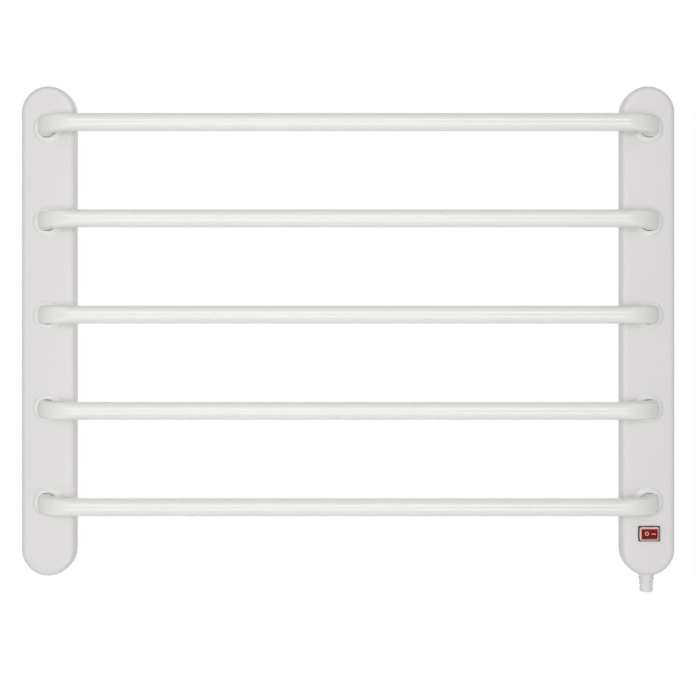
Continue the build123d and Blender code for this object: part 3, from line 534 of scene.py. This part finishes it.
# Polished polycarbonate: deep clear red with a hard gloss. Light goes some way in, so it glows at its edges.
red_polycarbonate, tree = begin("red_polished_polycarbonate")
place = add(tree, "ShaderNodeTexCoord", {}).outputs["Object"]
cloud = add(tree, "ShaderNodeTexNoise", {"Vector": place, "Scale": 1000 / 5, "Detail": 2.0})
tint = add(tree, "ShaderNodeMix", {"Factor": cloud.outputs["Fac"], colour_a: linear("#7C0708"),
                                   colour_b: linear("#90100F")}, data_type="RGBA")
shader = add(tree, "ShaderNodeBsdfPrincipled",
             {"Base Color": tint.outputs[mixture], "Roughness": 0.16, "IOR": 1.58,
              "Specular IOR Level": 0.08, "Subsurface Weight": 0.25,
              "Subsurface Radius": (1.0, 0.12, 0.08), "Subsurface Scale": 1.5 / 1000})
add(tree, "ShaderNodeOutputMaterial", {"Surface": shader.outputs[0]})
# The rings spread over the face, turn over its rounded edge, run down the sides and close under the keel
spread = np.linspace(0.08, 1, face_rings)
turn = np.linspace(0, np.pi / 2, 6)[1:]
inset, drop = rocker_edge * (1 - np.sin(turn)), rocker_edge * (1 - np.cos(turn))
half_length = np.concatenate([spread * (rocker_half_length - rocker_edge), rocker_half_length - inset,
                              [rocker_half_length, rocker_keel_half + 0.1, rocker_keel_half, 0.4]])
half_width = np.concatenate([spread * (rocker_half_width - rocker_edge), rocker_half_width - inset,
                             [rocker_half_width, rocker_half_width, rocker_half_width - 0.1, 0.4]])
along, across = rounded_rings(half_length, half_width, np.full(len(half_length), rocker_corner))
height = rocker_face(along) - np.concatenate([np.zeros(face_rings), drop, np.zeros(4)])[:, None]
height[-4] = rocker_skirt
height[-3] = rocker_keel + 0.1
height[-2:] = rocker_keel
rocker = surface("red_rocker", [on_rocker(along, height, across)], red_polycarbonate)
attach(rocker, "rocker")
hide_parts("switch_rocker")


# Marks on the rocker: the usual ring for off and bar for on. Each is printed with a pad, in ink that fills
# the shallow groove moulded for it and stands a little proud.
ring_place, ring_radius = -1.75, 1.85
bar_place, bar_length, bar_corner = 4.15, 3.6, 0.12
stroke, ink_edge, ink_depth, ink_rise = 0.68, 0.03, 0.12, 0.02
# Pad-printing ink: a warm white that picks up the red under it, satin and slightly uneven.
white_ink = speckled("warm_white_ink", "#FFE9E2", "#FFF6F2", 0.4, 0.01, Roughness=0.4, IOR=1.5)
angle = np.linspace(0, 2 * np.pi, 48, endpoint=False)
radius = ring_radius - np.array([0, ink_edge, stroke - ink_edge, stroke])[:, None]
along, across = ring_place + radius * np.cos(angle), radius * np.sin(angle)
lift = np.array([-ink_depth, ink_rise, ink_rise, -ink_depth])[:, None]
off_mark = surface("off_mark", [on_rocker(along, rocker_face(along) + lift, across)], white_ink, wrap=True)
sizes = np.array([[1.0, 1.0], [1.0, 1.0], [0.98, 0.94], [0.5, 0.5]]) * [bar_length / 2, stroke / 2]
along, across = rounded_rings(sizes[:, 0], sizes[:, 1], np.full(4, bar_corner))
along = bar_place + along
lift = np.array([-ink_depth, 0.0, ink_rise, ink_rise])[:, None]
on_mark = surface("on_mark", [on_rocker(along, rocker_face(along) + lift, across)], white_ink)
for mark in (off_mark, on_mark):
    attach(mark, "rocker")


# Splash cap: one clear PVC moulding that keeps drips off the switch. Its flange lies on the bezel, with a
# bead round the well, and its dome clears the rocker's swing. Where it is thick or rounded it is milky, and
# painted pale pink there for the red light it carries from the rocker. Its flat window is clear.
low, high = box_of("switch_splash_cap")
flange_half_length, flange_half_width = (high[0] - low[0]) / 2, (high[2] - low[2]) / 2
flange_thickness, flange_corner, flange_edge, flange_root = 0.8, 2.0, 0.3, 0.15
bead_length, bead_width, bead_corner, bead_height = 0.6, 0.15, 0.6, 0.5
cap_front, cap_wall, cap_shoulder = -low[1], 0.5, 0.6
dome_half_length, dome_half_width, dome_corner = well_half_length + cap_wall, well_half_width + cap_wall, 1.2
# Clear PVC, as the window: see-through, with a gloss so faint that the white room doesn't veil the red.
# Light from the lamps and the room passes straight in, as it does through a thin sheet.
clear_pvc, tree = begin("clear_moulded_pvc")
ray = add(tree, "ShaderNodeLightPath", {})
let_in = add(tree, "ShaderNodeMath", {0: ray.outputs["Is Shadow Ray"], 1: ray.outputs["Is Diffuse Ray"]},
             operation="MAXIMUM")
passing = add(tree, "ShaderNodeBsdfTransparent", {"Color": linear("#FEFBF9")})
mirror = add(tree, "ShaderNodeBsdfGlossy", {"Color": linear("#FFFFFF"), "Roughness": 0.05})
sheen = add(tree, "ShaderNodeFresnel", {"IOR": 1.1})
pane = add(tree, "ShaderNodeMixShader", {0: sheen.outputs[0], 1: passing.outputs[0], 2: mirror.outputs[0]})
window = add(tree, "ShaderNodeMixShader", {0: let_in.outputs[0], 1: pane.outputs[0], 2: passing.outputs[0]})
add(tree, "ShaderNodeOutputMaterial", {"Surface": window.outputs[0]})
# The same PVC where it is thick: milky and pale, with a painted pink glow for the red light it carries from
# the rocker.
milky_pvc_painted_red_glow, tree = begin("milky_pvc_shoulder_painted_red_glow")
place = add(tree, "ShaderNodeTexCoord", {}).outputs["Object"]
cloud = add(tree, "ShaderNodeTexNoise", {"Vector": place, "Scale": 1000 / 4, "Detail": 2.0})
# Painted red glow: the pink tint stands in for the rocker's light carried through the thick PVC
tint = add(tree, "ShaderNodeMix", {"Factor": cloud.outputs["Fac"], colour_a: linear("#F0BDB0"),
                                   colour_b: linear("#FBDFD6")}, data_type="RGBA")
shader = add(tree, "ShaderNodeBsdfPrincipled",
             {"Base Color": tint.outputs[mixture], "Roughness": 0.22, "IOR": 1.53,
              "Specular IOR Level": 0.3, "Subsurface Weight": 0.3, "Subsurface Radius": (1.0, 0.6, 0.5),
              "Subsurface Scale": 1 / 1000})
add(tree, "ShaderNodeOutputMaterial", {"Surface": shader.outputs[0]})
# The rows run from the window over the shoulder, down the dome and out round the flange, then back in under
# it, over the bead and up inside to the ceiling
window_rows = flat_rows(dome_half_length - cap_shoulder, dome_half_width - cap_shoulder, 0.2, cap_front,
                        (0.1, 0.4, 0.7, 0.9))
shoulder = edge_rows(dome_half_length, dome_half_width, dome_corner, cap_front, cap_shoulder, steps=8)
flange_front = bezel_front + flange_thickness
root = [[dome_half_length, dome_half_width, dome_corner, flange_front + flange_root],
        [dome_half_length + flange_root, dome_half_width + flange_root, dome_corner + flange_root,
         flange_front]]
flange = edge_rows(flange_half_length, flange_half_width, flange_corner, flange_front, flange_edge, steps=5)
inner_corner = dome_corner - cap_wall
foot = [[flange_half_length, flange_half_width, flange_corner, bezel_front],
        [well_half_length - bead_length, well_half_width - bead_width, bead_corner, bezel_front],
        [well_half_length - bead_length, well_half_width - bead_width, bead_corner,
         bezel_front + bead_height],
        [well_half_length - 0.1, well_half_width - 0.03, inner_corner, bezel_front + bead_height + 0.3],
        [well_half_length, well_half_width, inner_corner, bezel_front + bead_height + 0.6]]
inner = edge_rows(well_half_length, well_half_width, inner_corner, cap_front - cap_wall,
                  cap_shoulder - cap_wall)
ceiling = flat_rows(well_half_length, well_half_width, 0.2, cap_front - cap_wall, (0.85, 0.6, 0.3, 0.1))
moulded = shoulder[::-1] + root + flange[::-1] + foot + inner
shell = shell_of_rings(window_rows + moulded + ceiling, switch_middle)
cap = surface("clear_splash_cap", [shell], clear_pvc)
# The mesh's faces come band by band, and then as the two fans that close the window and the ceiling. The
# window, the shoulder's front and the ceiling are clear. The rest is milky, with the painted pink glow.
bands, sides = len(shell) - 1, shell.shape[1]
band = np.append(np.repeat(np.arange(bands), sides), np.repeat([0, bands - 1], sides))
milky = (band >= len(window_rows) + 2) & (band < len(window_rows) + len(moulded) - 1)
cap.data.materials.append(milky_pvc_painted_red_glow)
cap.data.polygons.foreach_set("material_index", milky.astype(int))
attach(cap, "rail")
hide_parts("switch_splash_cap")


# Cord boot: a ribbed sleeve of soft white PVC, pushed into the pad at the column's foot until its flange
# snaps in behind. The cord goes through its bore, and the ribs let it bend.
low, high = box_of("cord_boot")
boot_x, boot_y = (low[0] + high[0]) / 2, (low[1] + high[1]) / 2
boot_tip, boot_top, boot_bore, tip_edge, boot_sides = 5.65, 7.0, 3.5, 0.4, 72
snap_radius, snap_thickness, snap_edge = 7.2, 1.6, 0.2
neck_radius, neck_length = 5.3, 3.8
snap_foot = high[2] - snap_thickness
pad_bottom = snap_foot - neck_length
sleeve_length = pad_bottom - low[2]
grooves = [(0.0, 1.7), (4.7, 1.6), (9.3, 1.6)]
groove_depth, groove_edge = 0.7, 0.35


def boot_profile():
    """The sleeve's closed profile, as radii and heights, from its tip up the outside and back down the bore.

    The outside tapers evenly towards the tip. Each groove takes its depth off over its length, with edges
    that ramp over a third of a millimetre, and the tip's edge is rounded off. Above the sleeve the profile
    goes in to the neck and out round the snap flange.
    """
    down = np.linspace(sleeve_length, 0, 110)
    radius = boot_top + (boot_tip - boot_top) * down / sleeve_length
    for start, length in grooves:
        ramp = (start + length + groove_edge - down) / groove_edge
        if start > 0:
            ramp = np.minimum(ramp, (down - start + groove_edge) / groove_edge)
        ramp = np.clip(ramp, 0, 1)
        radius = radius - groove_depth * ramp * ramp * (3 - 2 * ramp)
    radius = radius - np.clip(tip_edge - (sleeve_length - down), 0, tip_edge) ** 2 / tip_edge
    outside = np.stack([radius, pad_bottom - down], axis=-1)
    inside = [[neck_radius, pad_bottom], [neck_radius, snap_foot], [snap_radius - snap_edge, snap_foot],
              [snap_radius, snap_foot + snap_edge], [snap_radius, high[2] - snap_edge],
              [snap_radius - snap_edge, high[2]], [boot_bore, high[2]], [boot_bore, low[2] + 0.01]]
    return np.vstack([outside, inside])


# Soft PVC: white, matt and slightly waxy, with a fine grain.
soft_pvc, tree = begin("soft_white_pvc")
place = add(tree, "ShaderNodeTexCoord", {}).outputs["Object"]
grain = add(tree, "ShaderNodeTexNoise", {"Vector": place, "Scale": 1000 / 0.7, "Detail": 2.0})
tint = add(tree, "ShaderNodeMix", {"Factor": grain.outputs["Fac"], colour_a: linear("#E2E2E0"),
                                   colour_b: linear("#E9E9E8")}, data_type="RGBA")
bump = add(tree, "ShaderNodeBump", {"Height": grain.outputs["Fac"], "Strength": 0.4, "Distance": 0.02 / 1000})
shader = add(tree, "ShaderNodeBsdfPrincipled",
             {"Base Color": tint.outputs[mixture], "Roughness": 0.5, "IOR": 1.53,
              "Subsurface Weight": 0.15, "Subsurface Radius": (1.0, 0.9, 0.8),
              "Subsurface Scale": 1 / 1000, "Normal": bump.outputs["Normal"]})
add(tree, "ShaderNodeOutputMaterial", {"Surface": shader.outputs[0]})
profile = boot_profile()
angle = np.linspace(0, 2 * np.pi, boot_sides, endpoint=False)
turned = np.stack([boot_x + profile[:, :1] * np.cos(angle), boot_y + profile[:, :1] * np.sin(angle),
                   np.broadcast_to(profile[:, 1:], (len(profile), boot_sides))], axis=-1)
boot = surface("ribbed_cord_boot", [turned], soft_pvc, wrap=True)
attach(boot, "rail")
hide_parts("cord_boot")
